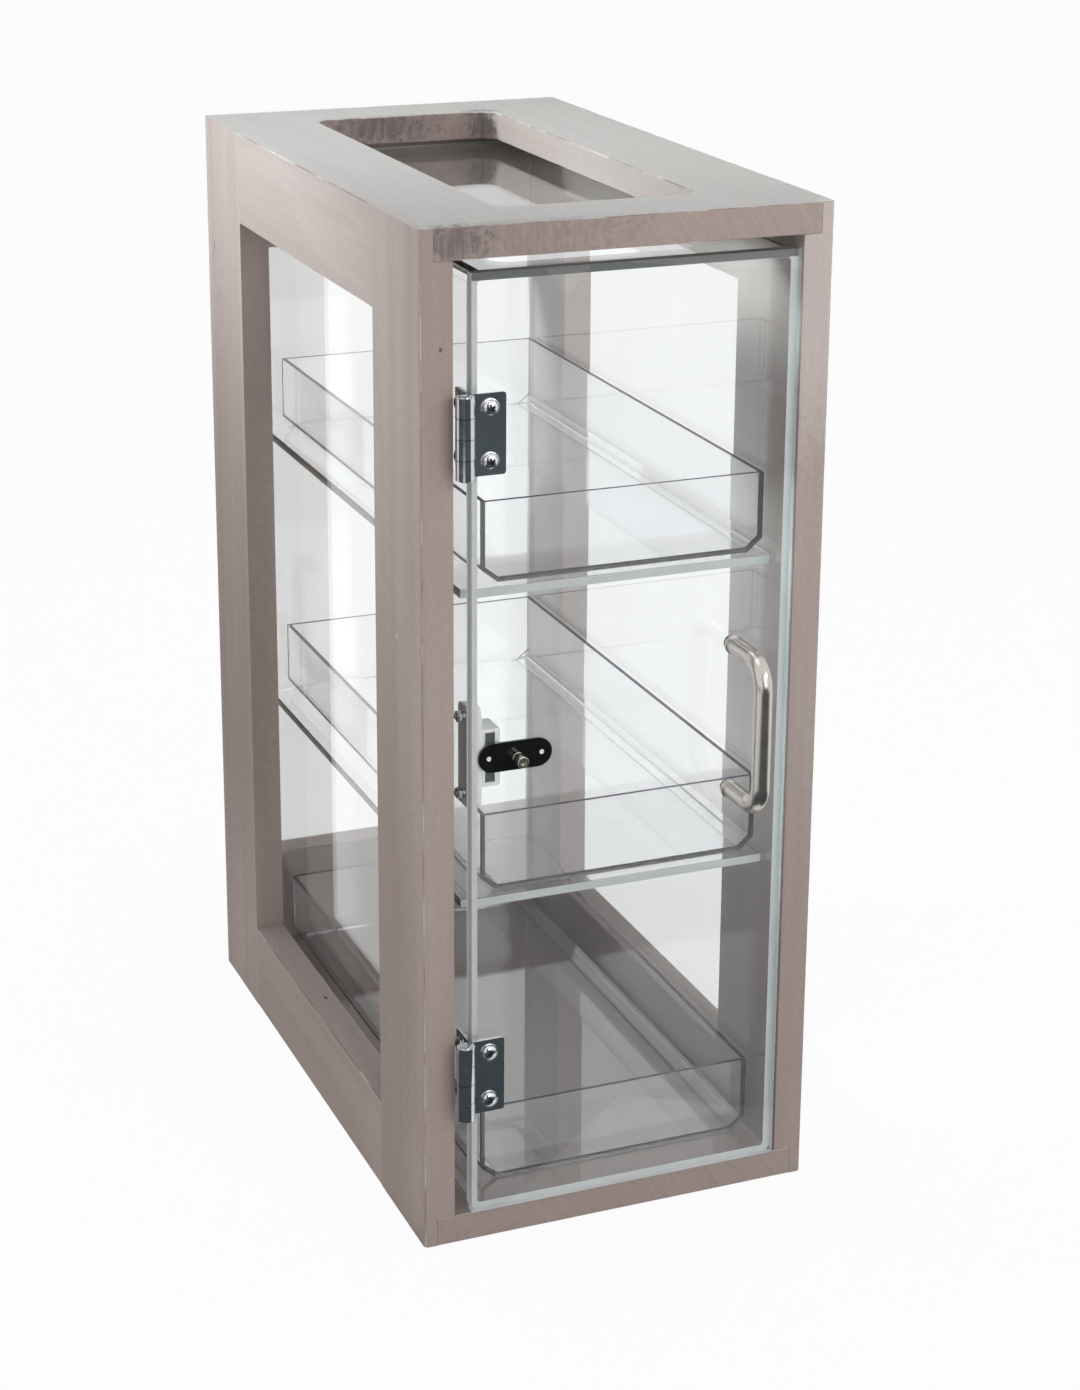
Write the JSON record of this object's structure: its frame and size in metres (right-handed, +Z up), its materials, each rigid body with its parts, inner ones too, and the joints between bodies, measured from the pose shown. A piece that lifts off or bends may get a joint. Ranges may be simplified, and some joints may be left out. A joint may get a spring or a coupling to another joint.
{
  "type": "bread bin",
  "caption": "Tiered bread bin: a wooden frame around a clear case with shelves, loose clear trays and a clear hinged door with a pull handle.",
  "frame": {"origin": "centre of the wooden frame's footprint, on the surface it stands on", "axes": "+X to the right seen from the front, +Y from the door to the back, +Z up"},
  "size_m": [0.222, 0.4186, 0.546],
  "materials": {
    "grey_wood": "grey washed, matt, fine straight grain",
    "dowel_wood": "bare hardwood",
    "clear_acrylic": "clear, polished, pale edges",
    "tray_acrylic": "clear, polished, dark violet edges",
    "chrome": "mirror plated",
    "bright_steel": "bright zinc plated",
    "satin_steel": "satin brushed",
    "white_plastic": "white, moulded",
    "black_metal": "black, satin",
    "magnet": "dark sintered magnet",
    "pole_steel": "dark rolled steel"
  },
  "bodies": {
    "cabinet": {"left_front_stile": "grey_wood", "left_back_stile": "grey_wood", "left_top_rail": "grey_wood", "left_bottom_rail": "grey_wood", "right_front_stile": "grey_wood", "right_back_stile": "grey_wood", "right_top_rail": "grey_wood", "right_bottom_rail": "grey_wood", "top_board": "grey_wood", "bottom_board": "grey_wood", "back_top_rail": "grey_wood", "back_bottom_rail": "grey_wood", "frame_dowels": "dowel_wood", "case_wrap": "clear_acrylic", "case_back": "clear_acrylic", "upper_shelf": "clear_acrylic", "lower_shelf": "clear_acrylic", "upper_hinge_case_leaf": "chrome", "upper_hinge_pin": "chrome", "lower_hinge_case_leaf": "chrome", "lower_hinge_pin": "chrome", "hinge_case_screws": "bright_steel", "catch_body": "white_plastic", "catch_magnet": "magnet", "catch_pole_plates": "pole_steel", "catch_screws": "bright_steel", "catch_nuts": "bright_steel"},
    "door": {"door_panel": "clear_acrylic", "door_handle": "satin_steel", "handle_collars": "satin_steel", "handle_screws": "bright_steel", "upper_hinge_door_leaf": "chrome", "lower_hinge_door_leaf": "chrome", "hinge_door_screws": "bright_steel", "strike_plate": "black_metal", "strike_screw": "bright_steel", "strike_post": "chrome"},
    "upper_tray": {"upper_tray_trough": "tray_acrylic", "upper_tray_ends": "tray_acrylic"},
    "middle_tray": {"middle_tray_trough": "tray_acrylic", "middle_tray_ends": "tray_acrylic"},
    "lower_tray": {"lower_tray_trough": "tray_acrylic", "lower_tray_ends": "tray_acrylic"}
  },
  "joints": [
    {"name": "door_hinge", "type": "hinge", "parent": "cabinet", "child": "door", "pos_m": [-0.0908, -0.1956, 0.27], "axis": [0, 0, -1], "range_deg": [0, 200]},
    {"name": "upper_tray_slide", "type": "slide", "parent": "cabinet", "child": "upper_tray", "axis": [0, -1, 0], "range_m": [-0.0037, 0.02]},
    {"name": "middle_tray_slide", "type": "slide", "parent": "cabinet", "child": "middle_tray", "axis": [0, -1, 0], "range_m": [-0.0037, 0.02]},
    {"name": "lower_tray_slide", "type": "slide", "parent": "cabinet", "child": "lower_tray", "axis": [0, -1, 0], "range_m": [-0.0037, 0.02]}
  ]
}
